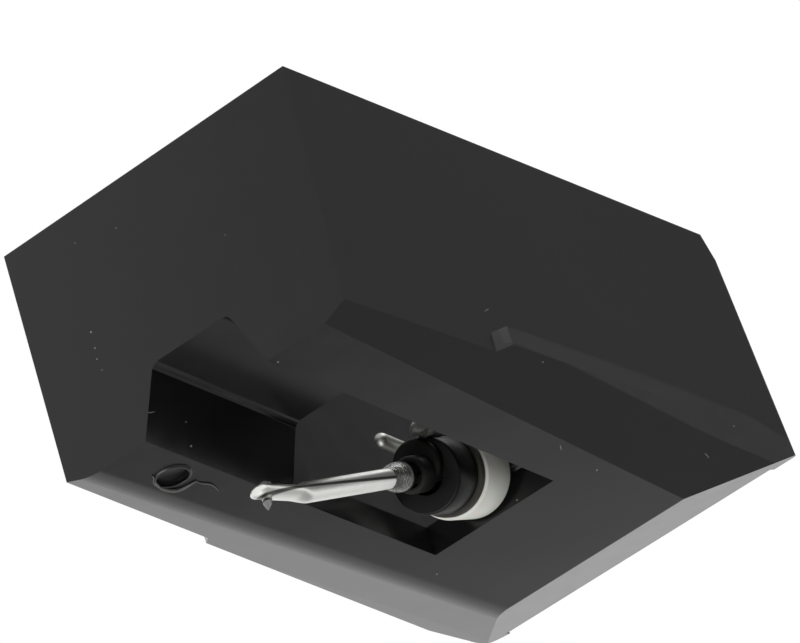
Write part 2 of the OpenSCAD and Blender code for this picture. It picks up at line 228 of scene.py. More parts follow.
def finish(name, colour, roughness, skin=None, **shader_values):
    """A material with a wandering colour, roughness and skin, each given as for wander and relief."""
    material, tree, shader = start_material(name, **shader_values)
    tree.links.new(wander(tree, *colour), shader.inputs["Base Color"])
    tree.links.new(wander(tree, *roughness), shader.inputs["Roughness"])
    if skin:
        tree.links.new(relief(tree, *skin), shader.inputs["Normal"])
    print("made", name)
    return material


# %% [markdown]
# ## Glossy black ABS
# The holder is moulded in black ABS in a polished steel mould. Such a skin is almost black and gets
# its tone from what it mirrors, so its colour stays very dark and the light does the rest. It is not a
# perfect mirror: the mould's polish leaves a faint waviness, cooling leaves shallow sinks, and handling
# leaves a thin haze, so roughness and relief wander slowly. A picture of smudges could drive the haze,
# but noise in real sizes fits every face without unwrapping it.

# %% Material: black ABS
abs_black, tree, shader = start_material("moulded_black_abs", IOR=1.5)
fresh = wander(tree, 4.0, "#101011", "#151516", detail=2.0)
haze = wander(tree, 0.9, 0.14, 0.25, detail=4.0, roughness=0.6)
tree.links.new(haze, shader.inputs["Roughness"])
sinks = relief(tree, 6.0, 0.02, detail=1.0)
peel = relief(tree, 0.35, 0.0006, detail=2.0, under=sinks)
tree.links.new(peel, shader.inputs["Normal"])
places = add(tree, "ShaderNodeTexCoord").outputs["Object"]
aside, _, height = add(tree, "ShaderNodeSeparateXYZ", {"Vector": places}).outputs
print("made", abs_black.name)

# %% [markdown]
# ### Greyer ribs
# The ribs are a little greyer than the rest of the skin. A second material could do this, but then the ribs'
# faces would have to be told apart. Here a mask of three soft steps finds them by their place: far out to a
# side, and between two heights.

# %% Material: black ABS, greyer on the ribs
RIB_X, RIB_TOP, RIB_BOTTOM, RIB_BLUR = 5.5, -0.85, -1.6, 0.03
outwards = add(tree, "ShaderNodeMath", {0: aside}, operation="ABSOLUTE").outputs[0]
STEPS = ((outwards, RIB_X - 0.05, RIB_X),
         (height, RIB_TOP, RIB_TOP - RIB_BLUR),
         (height, RIB_BOTTOM, RIB_BOTTOM + RIB_BLUR))
on_rib = 1.0
for place, start, end in STEPS:
    step = add(tree, "ShaderNodeMapRange", {"Value": place, "From Min": start * MM, "From Max": end * MM})
    both = {0: on_rib, 1: step.outputs[0]}
    on_rib = add(tree, "ShaderNodeMath", both, operation="MULTIPLY").outputs[0]
greyed = wander(tree, 0.9, "#242424", "#2e2e2e", detail=4.0, roughness=0.6)
skin = add(tree, "ShaderNodeMix", {"Factor": on_rib, 6: fresh, 7: greyed}, data_type="RGBA")
tree.links.new(skin.outputs[2], shader.inputs["Base Color"])
print("the ribs are rubbed from", RIB_TOP, "to", RIB_BOTTOM, "mm")

# %% [markdown]
# ### The gate's dimple
# The dimple's floor was torn by the gate and never polished, so it mirrors less than the skin around
# it. A second material on the dimple's faces would end in a hard line. Here the distance from the
# dimple's middle turns the mirroring down inside, and patches keep it uneven.

# %% Material: black ABS, dull in the gate's dimple
GATE_R, GATE_BLUR, SKIN_GLOSS = 0.48, 0.04, 0.5
ends = {0: places, 1: on_underside(GATE_PIXEL)}
from_gate = add(tree, "ShaderNodeVectorMath", ends, operation="DISTANCE").outputs["Value"]
edges = {"Value": from_gate, "From Min": (GATE_R - GATE_BLUR) * MM, "From Max": GATE_R * MM,
         "To Max": SKIN_GLOSS}
outside = add(tree, "ShaderNodeMapRange", edges).outputs[0]
patch = wander(tree, 0.5, 0.0, 0.25, detail=1.0)
gloss = add(tree, "ShaderNodeMath", {0: outside, 1: patch}, operation="MAXIMUM").outputs[0]
tree.links.new(gloss, shader.inputs["Specular IOR Level"])
print("the dull patch is", 2 * GATE_R, "mm across")

# %% [markdown]
# ### A painted highlight on the torn lip
# The gate's torn lip and its thread get a grey, duller and rougher kin of the same black plastic. The grey
# is a painted highlight: it stands for the light that the raised rim catches. A mask in the black material
# could lighten them too, but they are pieces of their own, so this is simpler.

# %% Material: black ABS with a painted highlight, for the gate's lip and thread
abs_painted_highlight = finish("black_abs_painted_highlight", (0.15, "#3c3c3b", "#5e5e5a"), (0.08, 0.45, 0.65), (0.06, 0.01), IOR=1.5)

# %% [markdown]
# ## Nylon and rubber
# Nylon is milky, and light goes a little way into it, which softens its shading. An opaque white would
# look like paint, so subsurface scattering lets the light in, a fraction of a millimetre deep. The
# sleeve is black nylon turned on a lathe, and the rubbers are dull with an oily skin, so they mirror
# little.

# %% Materials: nylon and rubber
NYLON_DEPTH = 0.3
nylon_white = finish("turned_white_nylon", (0.8, "#c9cac3", "#d3d4cd"), (0.25, 0.38, 0.5), (0.12, 0.004),
                     IOR=1.53, Subsurface_Weight=0.25, Subsurface_Scale=NYLON_DEPTH * MM)
nylon_black = finish("turned_black_nylon", (0.6, "#040404", "#0a0a09"), (0.3, 0.35, 0.5), (0.4, 0.01),
                     IOR=1.53, Specular_IOR_Level=0.15)
rubber_black = finish("moulded_black_rubber", (0.4, "#040403", "#0c0c09"), (0.3, 0.45, 0.7, 5.0),
                      (0.25, 0.02, 4.0), IOR=1.5, Specular_IOR_Level=0.2)
# The brown rubber's dark tone is partly its own colour and partly painted shade: the ring covers the
# collar's front face, which lies in shade.
rubber_brown_and_shade = finish("cut_brown_rubber_and_shade", (0.3, "#1a1713", "#332e26"), (0.1, 0.55, 0.8), IOR=1.5)

# %% [markdown]
# ## Metals
# Bare metal has no colour of its own under its skin: its colour is in the reflection. The pin and the
# tube are drawn steel, tumbled dull in a drum. The stopper is turned brass, and the magnet is a
# sintered alloy, ground to size, which is darker than steel. An anisotropic shader could stretch their
# highlights along the tool marks, but these parts are too small for that to show.

# %% Materials: steel, brass and magnet
steel = finish("tumbled_steel", (0.5, "#b4b4af", "#cccdc7"), (0.08, 0.4, 0.55, 5.0), (0.05, 0.002),
               Metallic=1.0)
brass = finish("turned_brass", (0.4, "#b8923f", "#cda955"), (0.1, 0.2, 0.35), Metallic=1.0)
magnet_grey = finish("ground_magnet_alloy", (0.2, "#4a4a4c", "#66666a"), (0.06, 0.3, 0.5), Metallic=1.0)

# %% [markdown]
# ### Drawn aluminium
# The cantilever is drawn through a die, which leaves fine lines along it. The noise for them is
# stretched along the arm, and is drawn coarser than in life so that it shows. The tube is rolled from
# sheet, and its dark seam wanders from above the middle to below it. The seam could be cut into the
# mesh, but it is flat, so a colour laid along it is enough.

# %% Material: aluminium, drawn
LINE_MM, LINE_STRETCH = 0.03, 25
aluminium, tree, shader = start_material("drawn_aluminium", Metallic=1.0)
places = add(tree, "ShaderNodeTexCoord").outputs["Object"]
stretched = {"Vector": places, "Rotation": (math.radians(ARM_SLOPE), 0, 0), "Scale": (1, LINE_STRETCH, 1)}
along = add(tree, "ShaderNodeMapping", stretched, vector_type="TEXTURE").outputs[0]
tree.links.new(wander(tree, LINE_MM, 0.3, 0.45, at=along), shader.inputs["Roughness"])
tree.links.new(relief(tree, LINE_MM, 0.003, at=along), shader.inputs["Normal"])
print("made", aluminium.name)

# %% Material: aluminium, the seam
# Each end of the seam is given along the arm and above its middle, in millimetres
SEAM_FROM, SEAM_TO = (-5.8, 0.07), (-0.8, -0.09)
SEAM_HALF, SEAM_SOFT = 0.028, 0.055
arm_up = on_arm(0).to_3x3() @ Vector((0, -1, 0))
arm_back = on_arm(0).to_3x3() @ Vector((0, 0, 1))


def from_root(tree, direction):
    """How far a place on the piece lies from the root, along a direction."""
    here = add(tree, "ShaderNodeTexCoord").outputs["Object"]
    offset = add(tree, "ShaderNodeVectorMath", {0: here, 1: root}, operation="SUBTRACT").outputs[0]
    both = {0: offset, 1: direction}
    return add(tree, "ShaderNodeVectorMath", both, operation="DOT_PRODUCT").outputs["Value"]


course = {"Value": from_root(tree, arm_back), "From Min": SEAM_FROM[0] * MM, "From Max": SEAM_TO[0] * MM,
          "To Min": SEAM_FROM[1] * MM, "To Max": SEAM_TO[1] * MM}
slant = add(tree, "ShaderNodeMapRange", course).outputs[0]
apart = add(tree, "ShaderNodeMath", {0: from_root(tree, arm_up), 1: slant}, operation="SUBTRACT").outputs[0]
apart = add(tree, "ShaderNodeMath", {0: apart}, operation="ABSOLUTE").outputs[0]
fade = {"Value": apart, "From Min": SEAM_HALF * MM, "From Max": SEAM_SOFT * MM, "To Min": 1.0, "To Max": 0.0}
seam = add(tree, "ShaderNodeMapRange", fade).outputs[0]
bright = wander(tree, 0.3, "#e4e4e0", "#f0f0ec")
with_seam = add(tree, "ShaderNodeMix", {"Factor": seam, 6: bright, 7: linear("#55554f")}, data_type="RGBA")
tree.links.new(with_seam.outputs[2], shader.inputs["Base Color"])
print("the seam is", 2 * SEAM_HALF, "mm wide")

# %% [markdown]
# ## Cement
# The bead at the root is clear, so it lets light through. Behind the root it turns dark, so its colour, its
# clearness and its mirroring all change along the arm. Two materials could show that, but the change is soft
# and has no sharp border.
# The cement on the sleeve and on the shank is nearly opaque, and its colour wanders from near black to pale
# grey: the pale patches are painted glints, and the dark ones painted shade.

# %% Materials: cement
# Behind the root the bead's colour goes to near black, it stops letting light through, and it mirrors less.
DARK_FROM, DARK_TO = -0.15, 0.02
cement, tree, shader = start_material("cured_clear_cement", IOR=1.5)
reach = {"Value": from_root(tree, arm_back), "From Min": DARK_FROM * MM, "From Max": DARK_TO * MM}
darkened = add(tree, "ShaderNodeMapRange", reach).outputs[0]
clear = wander(tree, 0.2, "#d9d9d3", "#eeeeea")
darkening = add(tree, "ShaderNodeMix", {"Factor": darkened, 6: clear, 7: linear("#080807")}, data_type="RGBA")
tree.links.new(darkening.outputs[2], shader.inputs["Base Color"])
for socket, in_front, behind in (("Transmission Weight", 0.95, 0.0), ("Specular IOR Level", 0.5, 0.15)):
    ends = {"Value": darkened, "To Min": in_front, "To Max": behind}
    tree.links.new(add(tree, "ShaderNodeMapRange", ends).outputs[0], shader.inputs[socket])
tree.links.new(wander(tree, 0.15, 0.05, 0.2), shader.inputs["Roughness"])
tree.links.new(relief(tree, 0.1, 0.02), shader.inputs["Normal"])
# Painted glints and shade: the dabs' colour wanders between dark patches of painted shade and pale patches
# of painted glints.
cement_glints_and_shade = finish("cement_painted_glints_and_shade", (0.35, "#161615", "#8c8c88"), (0.15, 0.15, 0.4), (0.1, 0.02),
                      IOR=1.5, Transmission_Weight=0.1)

# %% [markdown]
# ## Diamond and dust
# The diamond is a tiny ground chip. A perfectly clear one would only flicker at this size, so it is
# greyish and half clear, with diamond's own high IOR. House dust is matt and pale. It could be left
# out, but a few grains tell the eye how small the object is.

# %% Materials: diamond and dust
diamond_grey = finish("polished_diamond", (0.05, "#3b3b3d", "#5a5a5c"), (0.05, 0.05, 0.15),
                      IOR=2.42, Transmission_Weight=0.5)
dust_white = finish("house_dust", (0.05, "#858684", "#a9aaa8"), (0.05, 0.7, 0.95), IOR=1.45)

# %% [markdown]
# ## Modelling helpers
# A turned piece is made as a potter would: a circle is added, and its rim is extruded upwards and
# resized ring by ring. Where the last ring meets the first, they are merged into a closed solid; where
# a ring has no radius, it is a pole and is merged to one point. A Screw modifier could turn a profile
# too, but rings can later be widened, bent and pressed, as the cantilever's tip needs.

# %% Helpers for meshes


def only(piece):
    """Makes this the one selected and active object."""
    bpy.ops.object.select_all(action="DESELECT")
    piece.select_set(True)
    bpy.context.view_layer.objects.active = piece


def settle(piece, placement):
    """Puts a piece in its place and writes that place into its mesh."""
    only(piece)
    piece.matrix_world = placement
    bpy.ops.object.transform_apply(location=True, rotation=True, scale=True)


def pick(piece, wanted):
    """In edit mode, selects only the points whose place in millimetres passes a test."""
    bpy.ops.mesh.select_all(action="DESELECT")
    bpy.ops.mesh.select_mode(type="VERT")
    edit = bmesh.from_edit_mesh(piece.data)
    for v in edit.verts:
        v.select = wanted(v.co / MM)
    edit.select_flush_mode()
    bmesh.update_edit_mesh(piece.data)
    return sum(v.select for v in edit.verts)


def pick_edges(piece, first, second):
    """In edit mode, selects only the edges between two kinds of faces, told by their normals."""
    bpy.ops.mesh.select_all(action="DESELECT")
    bpy.ops.mesh.select_mode(type="EDGE")
    edit = bmesh.from_edit_mesh(piece.data)
    for e in edit.edges:
        turns = [f.normal for f in e.link_faces]
        if len(turns) == 2:
            e.select = (first(turns[0]) and second(turns[1])) or (first(turns[1]) and second(turns[0]))
    edit.select_flush_mode()
    bmesh.update_edit_mesh(piece.data)
    return sum(e.select for e in edit.edges)


def lathe(name, rings, around=96):
    """Extrudes a circle ring by ring. Each ring is (radius, height) in millimetres."""
    radius, height = rings[0]
    bpy.ops.object.select_all(action="DESELECT")
    bpy.ops.mesh.primitive_circle_add(vertices=around, radius=max(radius, 0.001) * MM,
                                      location=(0, 0, height * MM))
    piece = bpy.context.object
    piece.name = piece.data.name = name
    bpy.ops.object.transform_apply(location=True)
    bpy.ops.object.mode_set(mode="EDIT")
    bpy.ops.mesh.select_all(action="SELECT")
    for next_radius, next_height in rings[1:]:
        rise = (next_height - height) * MM
        grow = max(next_radius, 0.001) / max(radius, 0.001)
        bpy.ops.mesh.extrude_region_move(TRANSFORM_OT_translate={"value": (0, 0, rise)})
        bpy.ops.transform.resize(value=(grow, grow, 1), center_override=(0, 0, next_height * MM))
        radius, height = next_radius, next_height
    bpy.ops.mesh.select_all(action="SELECT")
    bpy.ops.mesh.remove_doubles(threshold=0.0015 * MM)
    bpy.ops.mesh.normals_make_consistent(inside=False)
    bpy.ops.object.mode_set(mode="OBJECT")
    return piece


def finish_piece(piece, material, body, stands_for=(), smooth_angle=35):
    """Shades a piece, gives it its material, parents it to its body's empty, and hides the solids it stands
    for.
    """
    only(piece)
    bpy.ops.object.shade_smooth_by_angle(angle=math.radians(smooth_angle))
    piece.data.materials.clear()
    piece.data.materials.append(material)
    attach(piece, body)
    if stands_for:
        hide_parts(*stands_for)
    print(piece.name, "has", len(piece.data.polygons), "faces")


def rounded(piece, width_mm, segments=3, angle=30):
    """Rounds the sharp edges with a Bevel modifier and applies it."""
    only(piece)
    bevel = piece.modifiers.new("rounding", "BEVEL")
    bevel.width = width_mm * MM
    bevel.segments = segments
    bevel.limit_method = "ANGLE"
    bevel.angle_limit = math.radians(angle)
    bpy.ops.object.modifier_apply(modifier=bevel.name)


# %% [markdown]
# ## The holder
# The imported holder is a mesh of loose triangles. A copy of it is merged and its flat faces are joined,
# so that its edges can be rounded as a mould maker's cutter would leave them. It could be modelled
# anew, but then two shapes would have to be kept alike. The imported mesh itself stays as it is, and the
# copy stands for it.

# %% Holder: a merged copy


def merged_copy(node_name, name):
    """A copy of a CAD node whose points are merged and whose flat faces are whole."""
    packed = nodes[node_name]
    piece = packed.copy()
    piece.data = packed.data.copy()
    piece.name = piece.data.name = name
    piece.parent = None
    for key in list(piece.keys()):
        del piece[key]
    bpy.context.scene.collection.objects.link(piece)
    only(piece)
    bpy.ops.object.mode_set(mode="EDIT")
    bpy.ops.mesh.select_all(action="SELECT")
    bpy.ops.mesh.remove_doubles(threshold=0.001 * MM)
    bpy.ops.mesh.dissolve_limited(angle_limit=math.radians(0.5))
    bpy.ops.object.mode_set(mode="OBJECT")
    print(name, "copy:", len(piece.data.vertices), "points,", len(piece.data.polygons), "faces")
    return piece


holder = merged_copy("holder", "holder_shell")

# %% [markdown]
# ### The soft edges
# Where the underside turns into its left and rear bevels, and where the front face ends, the mould was
# cut with round tools, and the edge is a soft band of light. One Bevel modifier has one width for all
# edges, so these are rounded by hand first: edges are picked by the faces that meet in them, and each
# kind gets a radius of its own.

# %% Holder: the soft edges of the front and of the underside
LEFT_ROUND, REAR_ROUND, FRONT_ROUND = 0.4, 0.5, 0.14


def faces_down(n):
    return n.z < -0.9999


def faces_left_bevel(n):
    return n.x < -0.2 and n.z < -0.7


def faces_rear_bevel(n):
    return n.y > 0.2 and n.z < -0.7


def faces_front(n):
    return n.y < -0.95


def faces_up_or_left(n):
    return n.z > 0.95 or n.x < -0.95


only(holder)
bpy.ops.object.mode_set(mode="EDIT")
print("front edges:", pick_edges(holder, faces_front, faces_up_or_left))
bpy.ops.mesh.bevel(offset=FRONT_ROUND * MM, segments=4, affect="EDGES", clamp_overlap=True)
print("left edges:", pick_edges(holder, faces_down, faces_left_bevel))
bpy.ops.mesh.bevel(offset=LEFT_ROUND * MM, segments=10, affect="EDGES", clamp_overlap=True)
print("rear edges:", pick_edges(holder, faces_down, faces_rear_bevel))
bpy.ops.mesh.bevel(offset=REAR_ROUND * MM, segments=8, affect="EDGES", clamp_overlap=True)
bpy.ops.object.mode_set(mode="OBJECT")

# %% [markdown]
# ### All other edges
# No moulded edge is sharp. A Bevel modifier gives all that are left a narrow rounding, just wide enough
# to catch a line of light. Bevelling by hand would do too, but the modifier finds all sharp edges by
# their angle. Weighted normals then keep the big faces looking flat beside the roundings.

# %% Holder: all other edges
EDGE_ROUND = 0.06
rounded(holder, EDGE_ROUND, segments=3, angle=12)
only(holder)
normals = holder.modifiers.new("even_faces", "WEIGHTED_NORMAL")
normals.keep_sharp = True
finish_piece(holder, abs_black, "holder", ["holder"], smooth_angle=40)
bpy.ops.object.modifier_apply(modifier=normals.name)

# %% [markdown]
# ## The damper rings
# Seen from the front, the suspension is a stack of rings on the plug's axis: the white collar, a thin
# brown rubber, the glossy black sleeve, and the soft black disc that the cantilever passes through.
# Each one is turned from its own profile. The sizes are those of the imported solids, and the edges get
# the small roundings that a lathe tool leaves. Copies of the solids could be rounded instead, but
# turned rings have clean and even faces.

# %% Collar, rubber ring and sleeve
SLEEVE_AT, SLEEVE_L, SLEEVE_R, SLEEVE_BORE = 1.5, 1.15, 1.12, 0.565
RUBBER_L, RUBBER_R = 0.22, 1.22
COLLAR_L, COLLAR_R, TUBE_BORE = 1.43, 1.3, 0.75
TURNED_EDGE, CUT_EDGE = 0.08, 0.03


def ring_profile(outer, bore, length, edge):
    """Rings of a tube with rounded outer edges, from the bore outwards and back."""
    arc = [math.radians(a) for a in (0, 30, 60, 90)]
    front = [(outer - edge + edge * math.sin(a), edge - edge * math.cos(a)) for a in arc]
    rear = [(r, length - h) for r, h in reversed(front)]
    return [(bore, 0)] + front + rear + [(bore, length), (bore, 0)]


collar = lathe("collar_turned", ring_profile(COLLAR_R, TUBE_BORE, COLLAR_L, TURNED_EDGE))
settle(collar, on_plug(SLEEVE_AT + SLEEVE_L + RUBBER_L))
finish_piece(collar, nylon_white, "holder", ["collar"])

# The brown ring's dark front is partly painted shade: it stands where the collar's front face lies in shade.
rubber_ring = lathe("rear_damper_cut", ring_profile(RUBBER_R, TUBE_BORE, RUBBER_L, CUT_EDGE))
settle(rubber_ring, on_plug(SLEEVE_AT + SLEEVE_L))
finish_piece(rubber_ring, rubber_brown_and_shade, "holder", ["rear_damper"])

sleeve = lathe("sleeve_turned", ring_profile(SLEEVE_R, SLEEVE_BORE, SLEEVE_L, TURNED_EDGE))
settle(sleeve, on_plug(SLEEVE_AT))
finish_piece(sleeve, nylon_black, "holder", ["damper_sleeve"])

# %% [markdown]
# ## The front damper
# This soft disc with its nose is cast in one piece of black rubber. Its solid already has the right
# shape, so a merged copy of it only gets softer edges. Modelling it again would add nothing.

# %% Front damper
CAST_EDGE = 0.03
damper = merged_copy("front_damper", "damper_rubber")
rounded(damper, CAST_EDGE, segments=3, angle=40)
finish_piece(damper, rubber_black, "damper", ["front_damper"])

# %% [markdown]
# ## The cantilever
# A cantilever is a drawn aluminium tube, about as thick as a pencil lead, whose tip is pressed flat so
# that the diamond's shank can go through it. The tube is extruded ring by ring like the turned pieces.
# A curve with a round bevel would be quicker, but its end could not be pressed flat.

# %% Cantilever: the round tube
ARM_R, ARM_L, TAIL_L = 0.295, 5.75, 2.62
arm = lathe("cantilever_tube", [(ARM_R, TAIL_L), (ARM_R, 0), (ARM_R, -ARM_L)], around=64)

# %% [markdown]
# ### The pressed tip
# A press squeezes the tube's end between two flat jaws and bends it up a little. In this stretch each
# ring gets wider and thinner and turns a bit, eased in and out as metal flows, and three last rings
# close the end. A lattice could squash the tube too, but the rings follow the press step by step.

# %% Cantilever: the pressed and flattened tip
PRESS_L, PRESS_STEPS = 0.7, 8
FLAT_L, FLAT_W, FLAT_T = 1.9, 0.66, 0.34
TIP_ROUND = 0.16
TIP_CLOSING = ((0.95, 0.98), (0.85, 0.93), (0.6, 0.7))
END_REACH = 0.01


def next_ring(centre, length, lean, turn_by, widen, thicken):
    """Extrudes the selected ring along the tip, resizes and turns it. Returns its new centre."""
    step = Vector((0, -math.sin(math.radians(lean)), -math.cos(math.radians(lean)))) * length * MM
    bpy.ops.mesh.extrude_region_move(TRANSFORM_OT_translate={"value": step})
    centre = centre + step
    bpy.ops.transform.resize(value=(widen, thicken, 1), center_override=centre)
    if turn_by:
        bpy.ops.transform.rotate(value=math.radians(turn_by), orient_axis="X", center_override=centre)
    return centre


only(arm)
bpy.ops.object.mode_set(mode="EDIT")
pick(arm, lambda co: co.z > TAIL_L - END_REACH)
bpy.ops.mesh.edge_face_add()
pick(arm, lambda co: co.z < -ARM_L + END_REACH)
centre = Vector((0, 0, -ARM_L * MM))
wide, thick = ARM_R, ARM_R
bend = ARM_SLOPE - TIP_SLOPE
for i in range(1, PRESS_STEPS + 1):
    ease = (1 - math.cos(math.pi * i / PRESS_STEPS)) / 2
    new_wide = ARM_R + (FLAT_W / 2 - ARM_R) * ease
    new_thick = ARM_R + (FLAT_T / 2 - ARM_R) * ease
    centre = next_ring(centre, PRESS_L / PRESS_STEPS, bend * i / PRESS_STEPS, bend / PRESS_STEPS,
                       new_wide / wide, new_thick / thick)
    wide, thick = new_wide, new_thick
centre = next_ring(centre, FLAT_L - TIP_ROUND, bend, 0, 1, 1)
for widen, thicken in TIP_CLOSING:
    centre = next_ring(centre, TIP_ROUND / len(TIP_CLOSING), bend, 0, widen, thicken)
bpy.ops.mesh.edge_face_add()
bpy.ops.mesh.select_all(action="SELECT")
bpy.ops.mesh.normals_make_consistent(inside=False)
bpy.ops.object.mode_set(mode="OBJECT")
settle(arm, on_arm(0))
finish_piece(arm, aluminium, "cantilever", ["cantilever"])

# %% [markdown]
# ## The root bead
# A bead of clear cement joins the cantilever to its damper. It creeps along the tube before it cures,
# so it is thin at its front, thickest past its middle, and a little thinner again at the rubber. It
# goes all round, so it is turned like the rings, from a profile that follows a sine. A stretched sphere
# would be quicker, but would not end in a thin lip.

# %% Root bead
BEAD_FRONT, BEAD_BACK, BEAD_R, BEAD_SWELL = 0.8, 0.5, 0.43, 165
BEAD_STEPS, BEAD_LIP, BEAD_GAP = 16, 0.01, 0.005
bead_l = BEAD_FRONT + BEAD_BACK
swell = [(ARM_R + BEAD_LIP + (BEAD_R - ARM_R) * math.sin(math.radians(BEAD_SWELL * i / BEAD_STEPS)),
          bead_l * i / BEAD_STEPS) for i in range(BEAD_STEPS + 1)]
bore = ARM_R + BEAD_GAP
bead = lathe("root_bead_drop", [(bore, 0)] + swell + [(bore, bead_l), (bore, 0)])
settle(bead, on_arm(-BEAD_FRONT))
finish_piece(bead, cement, "cantilever", ["root_bead"], smooth_angle=60)

# %% [markdown]
# ### Dabs of cement
# Small dabs sit on the sleeve and on top of the diamond's shank. Cement draws itself smooth as it
# cures, but never even, so a dab is a sphere whose points are pushed about at random and smoothed
# again. Metaballs flow together in the same way, but are harder to place. The sleeve's dabs are set
# where they show in the picture, at the depth of the plug's axis.

# %% Dabs of cement
DAB_UNEVEN, DAB_FLAT = 0.25, 0.8
CEMENT_DABS = (((419.5, 428), 0.3), ((425.5, 430), 0.3), ((431, 431.5), 0.28), ((435.5, 433.5), 0.22))


def dab(name, size, seed):
    """An uneven drop: a sphere whose points are pushed about and then smoothed. Size in mm."""
    bpy.ops.object.select_all(action="DESELECT")
    bpy.ops.mesh.primitive_ico_sphere_add(subdivisions=4, radius=MM)
    piece = bpy.context.object
    piece.name = piece.data.name = name
    piece.scale = size
    bpy.ops.object.transform_apply(scale=True)
    bpy.ops.object.mode_set(mode="EDIT")
    bpy.ops.mesh.select_all(action="SELECT")
    bpy.ops.transform.vertex_random(offset=DAB_UNEVEN * min(size) * MM, uniform=0.4, normal=0.8, seed=seed)
    bpy.ops.mesh.vertices_smooth(factor=0.6, repeat=6)
    bpy.ops.mesh.normals_make_consistent(inside=False)
    bpy.ops.object.mode_set(mode="OBJECT")
    return piece


def beside_axis(pixel):
    """The place where the camera's ray through a picture point passes nearest to the plug's axis."""
    ray = ray_through(pixel)
    apart = camera.location - root
    lean = ray.dot(plug_axis)
    reach = (lean * plug_axis.dot(apart) - ray.dot(apart)) / (1 - lean * lean)
    return camera.location + ray * reach


lumps = []
for i, (pixel, size) in enumerate(CEMENT_DABS):
    lump = dab("sleeve_dabs", (size, size, size * DAB_FLAT), seed=i)
    settle(lump, Matrix.Translation(beside_axis(pixel)))
    lumps.append(lump)
bpy.ops.object.select_all(action="DESELECT")
for lump in lumps:
    lump.select_set(True)
bpy.context.view_layer.objects.active = lumps[0]
bpy.ops.object.join()
finish_piece(lumps[0], cement_glints_and_shade, "holder", ["sleeve_cement"], smooth_angle=60)

# %% [markdown]
# ### Cement on the shank
# The shank goes through the flat tip, and a last dab of cement on top locks it. It is the same kind of
# drop, a little longer than wide, and it rides with the cantilever. The shank could be modelled with a
# thick head instead, but then the head would shine like metal.

# %% Cement on the shank
TIP_INSET = 0.46
SHANK_DAB, SHANK_DAB_SEED = (0.2, 0.17, 0.13), 7
SHANK_DAB_OFFSET = Vector((0, 0.02, 0.24)) * MM
flat_start = on_arm(-ARM_L - PRESS_L).translation
tip_place = on_slope(flat_start, TIP_SLOPE, -(FLAT_L - TIP_INSET)).translation
knob = dab("shank_dab", SHANK_DAB, seed=SHANK_DAB_SEED)
settle(knob, Matrix.Translation(tip_place + SHANK_DAB_OFFSET))
finish_piece(knob, cement_glints_and_shade, "cantilever", smooth_angle=60)

# %% [markdown]
# ## Pieces that keep their solids
# Some pieces are plain turned or ground parts whose solids already have the right shape. They keep
# them and get a material, merged points and a small rounding from live modifiers. Turning them again
# would gain nothing.

# %% Materials and roundings on the solids
SOLID_EDGE = 0.01
for name, material in (("guide_pin", steel), ("plug_tube", steel), ("tie_wire", steel),
                       ("tip_shank", steel), ("tube_stopper", brass), ("magnet", magnet_grey),
                       ("diamond", diamond_grey)):
    piece = nodes[name]
    piece.data.materials.clear()
    piece.data.materials.append(material)
    weld = piece.modifiers.new("merge", "WELD")
    weld.merge_threshold = 0.001 * MM
    edge = piece.modifiers.new("edge", "BEVEL")
    edge.width = SOLID_EDGE * MM
    edge.segments = 2
    edge.limit_method = "ANGLE"
    edge.angle_limit = math.radians(40)
    print(name, "gets", material.name)

# %% [markdown]
# ## Traces of moulding
# Where the plastic was let into the mould, the gate leaves a small round dimple with a torn lip and a
# thread of plastic. The lip and the thread are drawn along points of the picture as a thin curve with
# a round bevel, thickest in its middle, and the curve is then made a mesh. A bump could be painted on
# instead, but torn plastic stands out from the skin.

# %% Gate lip and thread
LIP_BELOW, LIP_THICK = 0.03, 0.11
LIP_PIXELS = ((153, 476), (154, 482), (159, 487.5), (167, 490.5), (176, 491), (184, 488.5), (191, 484),
              (197, 481))
THREAD_BELOW, THREAD_THICK = 0.02, 0.06
THREAD_PIXELS = ((196, 481.5), (202, 484), (209, 483), (215, 486), (218.5, 491))


def wire(name, places, thickness, ends=0.3):
    """A thin uneven wire through a few places, thickest in its middle. Thickness in mm."""
    curve = bpy.data.curves.new(name, "CURVE")
    curve.dimensions = "3D"
    curve.bevel_depth = thickness / 2 * MM
    curve.bevel_resolution = 4
    curve.resolution_u = 8
    curve.use_fill_caps = True
    line = curve.splines.new("NURBS")
    line.points.add(len(places) - 1)
    line.order_u = 4
    line.use_endpoint_u = True
    for i, place in enumerate(places):
        line.points[i].co = (*place, 1)
        line.points[i].radius = ends + (1 - ends) * math.sin(math.pi * i / (len(places) - 1))
    piece = bpy.data.objects.new(name, curve)
    bpy.context.scene.collection.objects.link(piece)
    only(piece)
    bpy.ops.object.convert(target="MESH")
    return bpy.context.object


# The lip and the thread wear black ABS with a painted highlight: grey that stands for the light on the
# raised rim.
gate_lip = wire("gate_lip", [on_underside(p, LIP_BELOW) for p in LIP_PIXELS], LIP_THICK)
finish_piece(gate_lip, abs_painted_highlight, "holder", smooth_angle=60)
thread_places = [on_underside(p, THREAD_BELOW) for p in THREAD_PIXELS]
gate_thread = wire("gate_thread", thread_places, THREAD_THICK)
finish_piece(gate_thread, abs_painted_highlight, "holder", smooth_angle=60)

# %% [markdown]
# ## Dust
# The real piece has been handled, and a few pale grains and fibres lie on it. A ray from the camera
# finds the place on the holder that each one covers in the picture. A grain is a flat dab, and a fibre
# is a bent wire that lies on the skin. Particles could strew dust as well, but not at known places.

